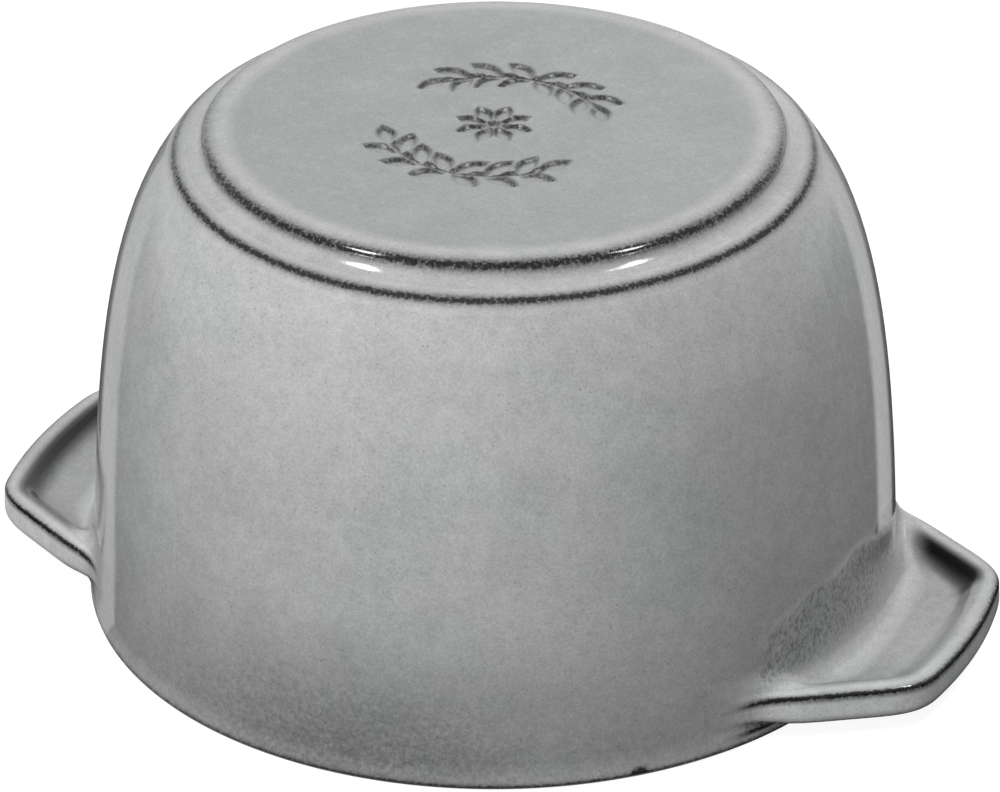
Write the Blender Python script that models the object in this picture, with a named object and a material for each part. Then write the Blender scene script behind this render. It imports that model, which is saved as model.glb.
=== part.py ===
# Round dutch oven, overturned for storage: the cast pot stands on its rim over its own lid,
# and the lid lies underneath with its knob pointing up into the hollow of the pot.
# Metres, +Z up. The origin is the middle of the rim, on the surface that the pot stands on.
# The two handles point along X.

import math

import bmesh
import bpy
from mathutils import Vector

# Pot, outside
RIM_RADIUS = 0.0660            # outer edge of the flared lip
POT_HEIGHT = 0.0820            # surface under the rim to the flat of the base
LIP_FLARE = 0.0008             # how far the lip stands out past the wall
LIP_HEIGHT = 0.0050            # height over which it flares
LIP_ROUNDING = 0.0008          # rounded outer edge of the lip
RIM_LAND = 0.0028              # width of the flat that the rim stands on
LAND_CHAMFER = 0.0004          # broken inner edge of that flat
WALL_LEAN = math.radians(2.3)  # lean of the wall just above the lip
WALL_PULL = 0.0245             # how far up that lean carries
SHOULDER_RADIUS = 0.0505       # edge where the wall turns in under the base
SHOULDER_SLOPE = math.radians(45.7)
SHOULDER_PULL = 0.0187         # how far down that slope carries
SHOULDER_FALL = 0.0012         # fall of the shoulder from the foot out to its edge
FOOT_RADIUS = 0.0458           # edge of the raised base disc
FOOT_STEP = 0.0036             # height of that edge over the shoulder's edge
FOOT_FILLET = 0.0022           # hollow between the disc's side and the shoulder
FOOT_EDGE = 0.0006             # rounding of the disc's edge
FOOT_FLAT_RADIUS = 0.0403      # flat middle of the disc
FOOT_CROWN = 0.0006            # fall of the disc outside its flat

# Pot, inside
WALL = 0.0042                  # thickness of the wall
BASE_THICKNESS = 0.0052
FLOOR_CORNER = 0.0075          # run of the rounded corner between floor and wall
LEDGE_WIDTH = 0.0038           # seat of the lid inside the rim
LEDGE_THICKNESS = 0.0034
LEDGE_BLEND = 0.0030           # height over which the ledge runs out into the wall

# Handles, cast in one with the pot
HANDLE_LENGTH = 0.0173         # reach past the wall
HANDLE_ROOT_WIDTH = 0.0692     # width where the sides meet the wall
HANDLE_TIP_WIDTH = 0.0386      # width between the outer corners
HANDLE_CORNER = 0.0040         # softness of the outer corners
HANDLE_ROOT_BLEND = 0.0050     # softness of the corners at the wall
HANDLE_DROP = 0.0031           # gap between the handle and the surface under the rim
HANDLE_THICKNESS = 0.0050
HANDLE_FILLET = 0.0040         # hollow between the pocketed face and the wall
HANDLE_UNDER_FILLET = 0.0012   # hollow between the plain face and the wall
HANDLE_BORDER = 0.0040         # width of the raised border round the pocket
HANDLE_POCKET_DEPTH = 0.0028
HANDLE_POCKET_RUN = 0.0030     # run of the pocket's sloping sides
HANDLE_EDGE = 0.0006           # rounding of the border's outer edge
HANDLE_UNDER_EDGE = 0.0016     # rounding of the plain face's edge

# Lid
LID_CLEARANCE = 0.0006         # round the flange, inside the rim
LIP_CLEARANCE = 0.0008         # round the locating lip, inside the mouth
SEAT_GAP = 0.0003              # between pieces that rest on each other
LID_LIP_DEPTH = 0.0040         # locating lip, which the stored lid stands on
LID_LIP_WIDTH = 0.0040
LID_FLANGE = 0.0043            # thickness of the flange
LID_WALL = 0.0044              # thickness of the dome
LID_STEP = 0.0012              # step between the flange and the dome
LID_DOME_MARGIN = 0.0036       # the dome starts this far inside the lip's outer face
LID_RISE = 0.0060              # rise of the dome
LID_EDGE = 0.0005              # broken edges
BOSS_RADIUS = 0.0100           # flat boss under the knob
BOSS_HEIGHT = 0.0010

# Knob and its fastening
SCREW_RADIUS = 0.0030
SCREW_CLEARANCE = 0.0003
SCREW_ENGAGEMENT = 0.0110      # length of the screw inside the knob
SCREW_END_GAP = 0.0010         # free depth past the screw's end
SCREW_HEAD_RADIUS = 0.0055
SCREW_HEAD_HEIGHT = 0.0030
SCREW_SLOT_WIDTH = 0.0012
SCREW_SLOT_DEPTH = 0.0014
SPRING_WASHER_RADIUS = 0.0062
SPRING_WASHER_THICKNESS = 0.0010
SPRING_WASHER_CONE = 0.0004    # height of its shallow cone
KNOB_WASHER_RADIUS = 0.0088
KNOB_WASHER_THICKNESS = 0.0010
KNOB_RADIUS = 0.0150
KNOB_HEIGHT = 0.0200
KNOB_FOOT_RADIUS = 0.0082
KNOB_NECK_RADIUS = 0.0066
KNOB_NECK_HEIGHT = 0.0075      # foot to the underside of the head
KNOB_EDGE = 0.0022             # rounding round the head
KNOB_CROWN = 0.0016            # rise of the head's top

# Fineness of the meshes
POT_COLUMNS = 72               # round the pot, closer together at the handles
COLUMN_CROWDING = 0.5
BELLY_ROWS = 8
TURN_STEPS = 56                # round the lid
SMALL_TURN_STEPS = 32          # round the knob and its fastening
SHARP_ANGLE = math.radians(35)

# Heights and radii that follow
HANDLE_TOP = HANDLE_DROP + HANDLE_THICKNESS
HANDLE_ZONE = HANDLE_TOP + HANDLE_FILLET + HANDLE_EDGE
SHOULDER_HEIGHT = POT_HEIGHT - FOOT_CROWN - FOOT_STEP
FLOOR_HEIGHT = POT_HEIGHT - BASE_THICKNESS
RECESS_RADIUS = RIM_RADIUS - LIP_ROUNDING - RIM_LAND
MOUTH_RADIUS = RECESS_RADIUS - LEDGE_WIDTH
FLANGE_TOP = LID_LIP_DEPTH + LID_FLANGE
RECESS_DEPTH = FLANGE_TOP + SEAT_GAP
LID_RADIUS = RECESS_RADIUS - LID_CLEARANCE
LID_LIP_RADIUS = MOUTH_RADIUS - LIP_CLEARANCE
DOME_RADIUS = LID_LIP_RADIUS - LID_DOME_MARGIN
DOME_TOP = FLANGE_TOP + LID_STEP + LID_RISE
BOSS_TOP = DOME_TOP + BOSS_HEIGHT
BOSS_UNDERSIDE = DOME_TOP - LID_WALL
BORE_RADIUS = SCREW_RADIUS + SCREW_CLEARANCE
KNOB_WASHER_BASE = BOSS_TOP + SEAT_GAP
KNOB_BASE = KNOB_WASHER_BASE + KNOB_WASHER_THICKNESS + SEAT_GAP
SPRING_WASHER_TOP = BOSS_UNDERSIDE - SEAT_GAP
SCREW_HEAD_TOP = SPRING_WASHER_TOP - SPRING_WASHER_THICKNESS - SPRING_WASHER_CONE - SEAT_GAP


def smooth_step(x):
    x = min(max(x, 0.0), 1.0)
    return x * x * (3.0 - 2.0 * x)


def smooth_max(a, b, width):
    overlap = max(width - abs(a - b), 0.0)
    return max(a, b) + overlap * overlap / (4.0 * width)


def smooth_min(a, b, width):
    return -smooth_max(-a, -b, width)


def finish(name, colour, roughness, metallic):
    material = bpy.data.materials.new(name)
    material.use_nodes = True
    shader = material.node_tree.nodes["Principled BSDF"]
    shader.inputs["Base Color"].default_value = (*colour, 1.0)
    shader.inputs["Roughness"].default_value = roughness
    shader.inputs["Metallic"].default_value = metallic
    return material


def add_object(name, mesh, material):
    mesh.shade_smooth()
    mesh.set_sharp_from_angle(angle=SHARP_ANGLE)
    piece = bpy.data.objects.new(name, mesh)
    piece.data.materials.append(material)
    bpy.context.scene.collection.objects.link(piece)
    return piece


def turned(name, profile, steps, material, closed):
    # The profile is (radius, height) points that run down the outer side.
    mesh = bpy.data.meshes.new(name)
    edges = [(i, i + 1) for i in range(len(profile) - 1)]
    if closed:
        edges.append((len(profile) - 1, 0))
    mesh.from_pydata([(radius, 0.0, height) for radius, height in profile], edges, [])
    piece = add_object(name, mesh, material)
    turn = piece.modifiers.new("Turn", 'SCREW')
    turn.axis = 'Z'
    turn.angle = math.tau
    turn.steps = steps
    turn.render_steps = steps
    turn.use_merge_vertices = True
    turn.merge_threshold = 0.00001
    turn.use_smooth_shade = True
    return piece


def arc(centre, radius, start, end, count):
    # Points on a circle in the profile plane; angles in degrees, 0 outwards and 90 up.
    angles = [math.radians(start + (end - start) * i / (count - 1)) for i in range(count)]
    return [(centre[0] + radius * math.cos(a), centre[1] + radius * math.sin(a)) for a in angles]


def bezier(points, t):
    points = [Vector(p) for p in points]
    while len(points) > 1:
        points = [a.lerp(b, t) for a, b in zip(points, points[1:])]
    return points[0]


# The belly of the pot is one curve from the shoulder's edge down to the lip.
BELLY_START = Vector((SHOULDER_RADIUS, SHOULDER_HEIGHT))
BELLY_END = Vector((RIM_RADIUS - LIP_FLARE, LIP_HEIGHT))
SHOULDER_DIRECTION = Vector((math.cos(SHOULDER_SLOPE), -math.sin(SHOULDER_SLOPE)))
BELLY = (
    BELLY_START,
    BELLY_START + SHOULDER_PULL * SHOULDER_DIRECTION,
    BELLY_END + WALL_PULL * Vector((-math.sin(WALL_LEAN), math.cos(WALL_LEAN))),
    BELLY_END,
)


def belly_place(height):
    # Place along the belly curve at which it reaches a height.
    low, high = 0.0, 1.0
    for _ in range(40):
        middle = 0.5 * (low + high)
        if bezier(BELLY, middle).y > height:
            low = middle
        else:
            high = middle
    return low


def wall_radius(height):
    if height < LIP_HEIGHT:
        flare = (LIP_HEIGHT - height) / (LIP_HEIGHT - LIP_ROUNDING)
        return RIM_RADIUS - LIP_FLARE + LIP_FLARE * flare * flare
    return bezier(BELLY, belly_place(height)).x


def handle_outline():
    # Each side of a handle is a straight line: its slant, and its distance from the pot's axis.
    root_radius = wall_radius(HANDLE_TOP)
    tip_radius = root_radius + HANDLE_LENGTH
    root = Vector((math.sqrt(root_radius ** 2 - 0.25 * HANDLE_ROOT_WIDTH ** 2), 0.5 * HANDLE_ROOT_WIDTH))
    tip = Vector((math.sqrt(tip_radius ** 2 - 0.25 * HANDLE_TIP_WIDTH ** 2), 0.5 * HANDLE_TIP_WIDTH))
    slant = math.atan2(root.y - tip.y, tip.x - root.x)
    distance = root.x * math.sin(slant) + root.y * math.cos(slant)
    return root_radius, tip_radius, slant, distance


ROOT_RADIUS, TIP_RADIUS, SIDE_SLANT, SIDE_DISTANCE = handle_outline()


def handle_reach(angle):
    # How far the handle stands out from the wall, at an angle from its own middle.
    side = SIDE_DISTANCE / math.sin(min(SIDE_SLANT + angle, 0.5 * math.pi))
    outline = smooth_min(side, TIP_RADIUS, HANDLE_CORNER)
    return smooth_max(outline - ROOT_RADIUS, 0.0, HANDLE_ROOT_BLEND)


def pocketed_face(angle, reach, out):
    # Height of the handle's pocketed face at a distance out from the wall.
    radius = ROOT_RADIUS + out
    to_side = SIDE_DISTANCE - radius * math.sin(SIDE_SLANT + angle)
    to_edge = min(to_side, reach - out)
    height = HANDLE_TOP - HANDLE_POCKET_DEPTH * smooth_step((to_edge - HANDLE_BORDER) / HANDLE_POCKET_RUN)
    hollow = max(HANDLE_FILLET - out, 0.0)
    return height + HANDLE_FILLET - math.sqrt(HANDLE_FILLET ** 2 - hollow ** 2)


def handle_rows(angle):
    # The profile through a handle, from the wall over it, out, round the edge and back under.
    reach = handle_reach(angle)
    across = max(math.sin(SIDE_SLANT + angle), 0.6)
    border = HANDLE_BORDER / across
    pocket = border + HANDLE_POCKET_RUN / across
    pocket_end = max(reach - pocket, 0.35 * reach)
    fillet_end = min(HANDLE_FILLET, 0.6 * pocket_end)
    outs = [
        0.0,
        0.3 * fillet_end,
        fillet_end,
        0.5 * (fillet_end + pocket_end),
        pocket_end,
        max(reach - border, 0.55 * reach),
        max(reach - 0.5 * border, 0.75 * reach),
        max(reach - HANDLE_EDGE, 0.9 * reach),
    ]
    rows = [(ROOT_RADIUS + out, pocketed_face(angle, reach, out)) for out in outs]
    edge = ROOT_RADIUS + reach
    rows += [
        (edge, HANDLE_TOP - HANDLE_EDGE),
        (edge, HANDLE_DROP + HANDLE_UNDER_EDGE),
        (edge - 0.3 * HANDLE_UNDER_EDGE, HANDLE_DROP + 0.3 * HANDLE_UNDER_EDGE),
        (edge - HANDLE_UNDER_EDGE, HANDLE_DROP),
        (ROOT_RADIUS + HANDLE_UNDER_FILLET, HANDLE_DROP),
        (ROOT_RADIUS, HANDLE_DROP - HANDLE_UNDER_FILLET),
    ]
    # Away from the handle the same rows lie on the bare wall.
    handle = smooth_step(reach / HANDLE_ROOT_BLEND)
    low = HANDLE_DROP - HANDLE_UNDER_FILLET
    blended = []
    for i, (radius, height) in enumerate(rows):
        bare = HANDLE_ZONE + (low - HANDLE_ZONE) * (i + 1) / len(rows)
        height = bare + (height - bare) * handle
        wall = wall_radius(height)
        blended.append((wall + max(radius - ROOT_RADIUS, 0.0) * handle, height))
    return blended


def base_rows():
    # From the flat of the base over the disc's edge and the shoulder.
    edge_height = POT_HEIGHT - FOOT_CROWN
    side_foot = SHOULDER_HEIGHT + SHOULDER_FALL + 0.3 * FOOT_FILLET
    crown_run = FOOT_RADIUS - FOOT_EDGE - FOOT_FLAT_RADIUS
    return [
        (FOOT_FLAT_RADIUS, POT_HEIGHT),
        (FOOT_FLAT_RADIUS + 0.6 * crown_run, POT_HEIGHT - 0.3 * FOOT_CROWN),
        (FOOT_RADIUS - FOOT_EDGE, edge_height),
        (FOOT_RADIUS, edge_height - FOOT_EDGE),
        (FOOT_RADIUS + 0.3 * FOOT_FILLET, side_foot),
        (FOOT_RADIUS + FOOT_FILLET, SHOULDER_HEIGHT + SHOULDER_FALL * 0.5),
    ]


def belly_rows():
    last = belly_place(HANDLE_ZONE)
    return [tuple(bezier(BELLY, last * i / BELLY_ROWS)) for i in range(BELLY_ROWS + 1)]


def inside_rows():
    # From the lip's edge over the land, up the recess and the wall, to the floor.
    rows = [
        (RIM_RADIUS, LIP_ROUNDING),
        (RIM_RADIUS - 0.3 * LIP_ROUNDING, 0.3 * LIP_ROUNDING),
        (RIM_RADIUS - LIP_ROUNDING, 0.0),
        (RECESS_RADIUS + LAND_CHAMFER, 0.0),
        (RECESS_RADIUS, LAND_CHAMFER),
        (RECESS_RADIUS, RECESS_DEPTH),
        (MOUTH_RADIUS, RECESS_DEPTH),
        (MOUTH_RADIUS, RECESS_DEPTH + LEDGE_THICKNESS),
    ]
    first = belly_place(RECESS_DEPTH + LEDGE_THICKNESS + LEDGE_BLEND)
    count = BELLY_ROWS - 1
    for i in range(count + 1):
        place = first * (1.0 - i / count)
        ahead = bezier(BELLY, min(place + 0.01, 1.0)) - bezier(BELLY, max(place - 0.01, 0.0))
        inward = Vector((ahead.y, -ahead.x)).normalized()
        rows.append(tuple(bezier(BELLY, place) + WALL * inward))
    radius, height = rows[-1]
    corner = Vector((radius - (FLOOR_HEIGHT - height) / math.tan(SHOULDER_SLOPE), FLOOR_HEIGHT))
    floor_edge = corner - Vector((FLOOR_CORNER, 0.0))
    for t in (0.35, 0.7, 1.0):
        rows.append(tuple(bezier((Vector((radius, height)), corner, floor_edge), t)))
    return rows


def column_angles():
    # Columns crowd together at the handles, which lie at 0 and 180 degrees.
    turns = [math.tau * i / POT_COLUMNS for i in range(POT_COLUMNS)]
    return [turn - 0.5 * COLUMN_CROWDING * math.sin(2.0 * turn) for turn in turns]


def add_pot(material):
    bm = bmesh.new()
    columns = []
    for angle in column_angles():
        from_handle = abs(math.remainder(angle, math.pi))
        rows = base_rows() + belly_rows() + handle_rows(from_handle) + inside_rows()
        columns.append([
            bm.verts.new((radius * math.cos(angle), radius * math.sin(angle), height))
            for radius, height in rows
        ])
    for left, right in zip(columns, columns[1:] + columns[:1]):
        for i in range(len(left) - 1):
            bm.faces.new((left[i], left[i + 1], right[i + 1], right[i]))
    bm.faces.new([column[0] for column in columns])
    bm.faces.new([column[-1] for column in reversed(columns)])
    bmesh.ops.recalc_face_normals(bm, faces=bm.faces)
    mesh = bpy.data.meshes.new("pot")
    bm.to_mesh(mesh)
    bm.free()
    return add_object("pot", mesh, material)


def dome_height(radius):
    share = min(radius / DOME_RADIUS, 1.0)
    return DOME_TOP - LID_RISE * share * share


def add_lid(material):
    inner_radius = LID_LIP_RADIUS - LID_LIP_WIDTH
    dome = [BOSS_RADIUS + BOSS_HEIGHT + (DOME_RADIUS - BOSS_RADIUS - BOSS_HEIGHT) * i / 5 for i in range(6)]
    under = [BOSS_RADIUS + (inner_radius - LID_EDGE - BOSS_RADIUS) * i / 5 for i in range(6)]
    profile = [(BORE_RADIUS, BOSS_TOP), (BOSS_RADIUS, BOSS_TOP)]
    profile += [(radius, dome_height(radius)) for radius in dome]
    profile += [
        (DOME_RADIUS + LID_STEP, FLANGE_TOP),
        (LID_RADIUS - LID_EDGE, FLANGE_TOP),
        (LID_RADIUS, FLANGE_TOP - LID_EDGE),
        (LID_RADIUS, LID_LIP_DEPTH + LID_EDGE),
        (LID_RADIUS - LID_EDGE, LID_LIP_DEPTH),
        (LID_LIP_RADIUS, LID_LIP_DEPTH),
        (LID_LIP_RADIUS, LID_EDGE),
        (LID_LIP_RADIUS - LID_EDGE, 0.0),
        (inner_radius + LID_EDGE, 0.0),
        (inner_radius, LID_EDGE),
    ]
    profile += [(radius, dome_height(radius) - LID_WALL) for radius in reversed(under)]
    profile += [(SPRING_WASHER_RADIUS + LID_EDGE, BOSS_UNDERSIDE), (BORE_RADIUS, BOSS_UNDERSIDE)]
    return turned("lid", profile, TURN_STEPS, material, closed=True)


def add_knob(material):
    bore_end = KNOB_BASE + SCREW_ENGAGEMENT + SCREW_END_GAP
    head_base = KNOB_BASE + KNOB_NECK_HEIGHT
    side_top = KNOB_BASE + KNOB_HEIGHT - KNOB_CROWN
    profile = [
        (0.0, KNOB_BASE + KNOB_HEIGHT),
        (0.5 * KNOB_RADIUS, KNOB_BASE + KNOB_HEIGHT - 0.25 * KNOB_CROWN),
    ]
    profile += arc((KNOB_RADIUS - KNOB_EDGE, side_top - KNOB_EDGE), KNOB_EDGE, 75, 0, 4)
    profile += arc((KNOB_RADIUS - KNOB_EDGE, head_base + KNOB_EDGE), KNOB_EDGE, 0, -75, 4)
    profile += [
        (KNOB_NECK_RADIUS, KNOB_BASE + 0.8 * KNOB_NECK_HEIGHT),
        (KNOB_NECK_RADIUS, KNOB_BASE + 0.45 * KNOB_NECK_HEIGHT),
        (KNOB_FOOT_RADIUS, KNOB_BASE + 0.12 * KNOB_NECK_HEIGHT),
        (KNOB_FOOT_RADIUS, KNOB_BASE),
        (BORE_RADIUS, KNOB_BASE),
        (BORE_RADIUS, bore_end),
        (0.0, bore_end),
    ]
    return turned("knob", profile, SMALL_TURN_STEPS, material, closed=False)


def add_washers(material):
    base = KNOB_WASHER_BASE
    top = base + KNOB_WASHER_THICKNESS
    turned("knob_washer", [
        (BORE_RADIUS, top),
        (KNOB_WASHER_RADIUS, top),
        (KNOB_WASHER_RADIUS, base),
        (BORE_RADIUS, base),
    ], SMALL_TURN_STEPS, material, closed=True)
    top = SPRING_WASHER_TOP
    turned("spring_washer", [
        (BORE_RADIUS, top - SPRING_WASHER_CONE),
        (SPRING_WASHER_RADIUS, top),
        (SPRING_WASHER_RADIUS, top - SPRING_WASHER_THICKNESS),
        (BORE_RADIUS, top - SPRING_WASHER_CONE - SPRING_WASHER_THICKNESS),
    ], SMALL_TURN_STEPS, material, closed=True)


def add_screw(material):
    end = KNOB_BASE + SCREW_ENGAGEMENT
    head_base = SCREW_HEAD_TOP - SCREW_HEAD_HEIGHT
    rounding = 0.5 * SCREW_HEAD_HEIGHT
    profile = [
        (0.0, end),
        (SCREW_RADIUS - LID_EDGE, end),
        (SCREW_RADIUS, end - LID_EDGE),
        (SCREW_RADIUS, SCREW_HEAD_TOP),
        (SCREW_HEAD_RADIUS, SCREW_HEAD_TOP),
    ]
    profile += arc((SCREW_HEAD_RADIUS - rounding, head_base + rounding), rounding, 0, -90, 4)
    profile.append((0.0, head_base))
    screw = turned("knob_screw", profile, SMALL_TURN_STEPS, material, closed=False)

    bpy.ops.mesh.primitive_cube_add(size=1.0, location=(0.0, 0.0, head_base))
    slot = bpy.context.object
    slot.name = "screw_slot_cutter"
    slot.scale = (3.0 * SCREW_HEAD_RADIUS, SCREW_SLOT_WIDTH, 2.0 * SCREW_SLOT_DEPTH)
    slot.hide_render = True
    slot.display_type = 'WIRE'
    cut = screw.modifiers.new("Slot", 'BOOLEAN')
    cut.operation = 'DIFFERENCE'
    cut.solver = 'EXACT'
    cut.object = slot
    return screw


def main():
    for old in list(bpy.data.objects):
        bpy.data.objects.remove(old, do_unlink=True)
    enamel = finish("grey_enamel", (0.30, 0.31, 0.31), 0.25, 0.0)
    steel = finish("polished_steel", (0.62, 0.61, 0.59), 0.22, 1.0)
    plain_steel = finish("plain_steel", (0.45, 0.45, 0.45), 0.40, 1.0)
    add_pot(enamel)
    add_lid(enamel)
    add_knob(steel)
    add_washers(plain_steel)
    add_screw(plain_steel)


main()
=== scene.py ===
import math
import bpy
import numpy as np
from mathutils import Matrix, Vector


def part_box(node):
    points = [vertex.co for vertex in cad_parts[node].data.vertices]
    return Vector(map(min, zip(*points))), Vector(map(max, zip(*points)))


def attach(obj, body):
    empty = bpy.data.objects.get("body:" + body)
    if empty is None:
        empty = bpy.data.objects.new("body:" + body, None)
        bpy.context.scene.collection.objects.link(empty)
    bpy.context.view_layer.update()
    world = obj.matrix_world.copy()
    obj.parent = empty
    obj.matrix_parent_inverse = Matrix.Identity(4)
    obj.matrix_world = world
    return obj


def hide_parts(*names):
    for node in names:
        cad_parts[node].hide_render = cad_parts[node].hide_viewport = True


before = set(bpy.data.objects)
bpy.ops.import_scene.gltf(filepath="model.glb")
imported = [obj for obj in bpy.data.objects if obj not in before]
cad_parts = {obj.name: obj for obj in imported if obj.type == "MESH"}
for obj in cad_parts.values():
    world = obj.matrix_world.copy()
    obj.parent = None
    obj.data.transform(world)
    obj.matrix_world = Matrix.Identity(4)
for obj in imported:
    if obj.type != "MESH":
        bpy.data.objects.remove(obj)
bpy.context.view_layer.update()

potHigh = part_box("pot")[1]
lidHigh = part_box("lid")[1]
knobLow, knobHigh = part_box("knob")
washerLow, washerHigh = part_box("knob_washer")
springLow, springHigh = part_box("spring_washer")
screwLow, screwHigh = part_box("knob_screw")


# Helpers for outlines

def smoothStep(x):
    x = min(max(x, 0.0), 1.0)
    return x * x * (3.0 - 2.0 * x)


def smoothMax(a, b, width):
    overlap = max(width - abs(a - b), 0.0)
    return max(a, b) + overlap * overlap / (4.0 * width)


def smoothMin(a, b, width):
    return -smoothMax(-a, -b, width)


def curvePoint(points, t):
    points = [Vector(p) for p in points]
    while len(points) > 1:
        points = [a.lerp(b, t) for a, b in zip(points, points[1:])]
    return points[0]


def arcPoints(centre, radius, start, end, count):  # degrees, 0 outwards and 90 up
    angles = [math.radians(start + (end - start) * i / (count - 1)) for i in range(count)]
    return [(centre[0] + radius * math.cos(a), centre[1] + radius * math.sin(a)) for a in angles]


def between(start, end, count):  # evenly spaced, without the start
    return [start + (end - start) * (i + 1) / count for i in range(count)]


# Helpers for meshes

meshing = {
    "startSize": 0.001,             # of the plane that is merged into the first point of an outline
    "mergeDistance": 0.000002,      # points closer than this become one
    "sharpAngle": math.radians(40), # edges above this stay sharp on the fastening
}


def selectOnly(piece):
    bpy.ops.object.select_all(action='DESELECT')
    piece.select_set(True)
    bpy.context.view_layer.objects.active = piece


def spinProfile(name, outline, steps):
    # one point is pushed out step by step into the half section, which is then spun round Z
    bpy.ops.object.select_all(action='DESELECT')
    bpy.ops.mesh.primitive_plane_add(size=meshing["startSize"])
    piece = bpy.context.object
    piece.name = name
    piece.data.name = name
    bpy.ops.object.mode_set(mode='EDIT')
    bpy.ops.mesh.select_all(action='SELECT')
    bpy.ops.mesh.merge(type='CENTER')
    bpy.ops.transform.translate(value=(outline[0][0], 0.0, outline[0][1]))
    for (radius, height), (nextRadius, nextHeight) in zip(outline, outline[1:]):
        step = (nextRadius - radius, 0.0, nextHeight - height)
        bpy.ops.mesh.extrude_region_move(TRANSFORM_OT_translate={"value": step})
    bpy.ops.object.mode_set(mode='OBJECT')
    numberRows(piece, outline)
    bpy.ops.object.mode_set(mode='EDIT')
    bpy.ops.mesh.select_all(action='SELECT')
    bpy.ops.mesh.spin(steps=steps, angle=math.tau, center=(0.0, 0.0, 0.0), axis=(0.0, 0.0, 1.0))
    bpy.ops.mesh.select_all(action='SELECT')
    bpy.ops.mesh.remove_doubles(threshold=meshing["mergeDistance"])
    bpy.ops.mesh.normals_make_consistent(inside=False)
    bpy.ops.object.mode_set(mode='OBJECT')
    bpy.ops.object.shade_smooth()
    return piece


def numberRows(piece, outline):  # every point remembers its row of the half section
    rows = piece.data.attributes.new("row", 'INT', 'POINT')
    places = np.array(outline)
    for vertex, row in zip(piece.data.vertices, rows.data):
        away = np.hypot(places[:, 0] - vertex.co.x, places[:, 1] - vertex.co.z)
        row.value = int(np.argmin(away))


def takeRows(piece):
    rows = [row.value for row in piece.data.attributes["row"].data]
    piece.data.attributes.remove(piece.data.attributes["row"])
    return rows


def paint(piece, name, values):  # a number for every point, which a material reads
    layer = piece.data.attributes.get(name) or piece.data.attributes.new(name, 'FLOAT', 'POINT')
    layer.data.foreach_set("value", values)


def painted(piece, name):
    values = np.zeros(len(piece.data.vertices))
    piece.data.attributes[name].data.foreach_get("value", values)
    return values


def subdivide(piece):
    selectOnly(piece)
    smooth = piece.modifiers.new("smooth", 'SUBSURF')
    smooth.levels = 1
    smooth.render_levels = 1
    bpy.ops.object.modifier_apply(modifier="smooth")


def closeHoles(piece):
    selectOnly(piece)
    bpy.ops.object.mode_set(mode='EDIT')
    bpy.ops.mesh.select_all(action='SELECT')
    bpy.ops.mesh.fill_holes(sides=0)
    bpy.ops.mesh.select_all(action='SELECT')
    bpy.ops.mesh.normals_make_consistent(inside=False)
    bpy.ops.object.mode_set(mode='OBJECT')
    bpy.ops.object.shade_smooth()


# Camera

cameraValues = {
    "turn": math.radians(22.7),     # round the pot, from the front towards a handle
    "setBack": 0.9196,
    "height": 0.5497,
    "tilt": math.radians(29.33),    # down from level
    "swing": math.radians(-0.05),
    "roll": math.radians(-0.21),
    "lens": 236.25,
    "sensor": 36.0,
}


def addCamera(values):
    data = bpy.data.cameras.new("camera")
    data.lens = values["lens"]
    data.sensor_width = values["sensor"]
    camera = bpy.data.objects.new("camera", data)
    bpy.context.scene.collection.objects.link(camera)
    turn = Matrix.Rotation(values["turn"], 4, 'Z')
    place = Matrix.Translation(turn @ Vector((0.0, -values["setBack"], values["height"])))
    swing = Matrix.Rotation(values["turn"] + values["swing"], 4, 'Z')
    tilt = Matrix.Rotation(0.5 * math.pi - values["tilt"], 4, 'X')
    roll = Matrix.Rotation(values["roll"], 4, 'Z')
    camera.matrix_world = place @ swing @ tilt @ roll
    bpy.context.scene.camera = camera


addCamera(cameraValues)
print("camera placed")


# Pot

potShape = {
    "rimRadius": potHigh.y,
    "height": potHigh.z,
    "columns": 160,
    "crowding": 0.6,                # columns move together at the handles
    "crowdingRun": (0.022, 0.018),  # outside this radius, fully after this much more
    "lipFlare": 0.0008,
    "lipHeight": 0.0050,
    "lipRounding": 0.0008,
    "lipRows": (0.0014, 0.0010),    # heights of the last rows above the rounding
    "greyRows": 4,                  # rows of the lip that are grey, before the black inside
    "wallLean": math.radians(2.3),
    "wallPull": 0.0245,
    "coarseRows": 9,
    "fineRows": 12,
    "fineWall": 0.0255,             # the rows are fine below this height on the wall, for the pores
    "shoulderRadius": 0.0505,
    "shoulderHeight": 0.0778,
    "shoulderSlope": math.radians(45.7),
    "shoulderPull": 0.0187,
    "shoulderRows": (0.008, 0.018, 0.035),      # close rows below the edge, as shares of the wall's curve
    "shoulderFall": 0.0011,         # from the hollow at the foot out to the shoulder's edge
    "shoulderWay": ((0.35, 0.28), (0.65, 0.52), (0.85, 0.75), (1.0, 1.0)),  # shares of the run, of the fall
    "footRadius": 0.0459,
    "footEdge": 0.0009,             # rounding of the disc's edge
    "footLean": 0.0001,             # of the disc's side
    "footFillet": 0.0020,
    "flatRadius": 0.0403,
    "flatFall": 0.0005,             # the disc falls a little outside its flat
    "flatWay": ((0.4, 0.12), (0.75, 0.5)),      # shares of the run, of the fall
    "fineRadius": 0.0235,           # the mesh is fine inside this, for the ornament
    "pinhole": 0.0004,              # left open at the poles until the mesh is finished
    "wall": 0.0042,
    "floorHeight": 0.0768,
    "floorCorner": 0.0075,
    "rimLand": 0.0028,
    "landEdge": 0.0004,             # the edges of the land and the ledge are broken this wide
    "recessDepth": 0.0086,
    "ledgeWidth": 0.0038,
    "ledgeThickness": 0.0034,
    "ledgeEdge": 0.0010,
    "ledgeBlend": 0.0012,           # the wall starts this much above the ledge
}

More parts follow.
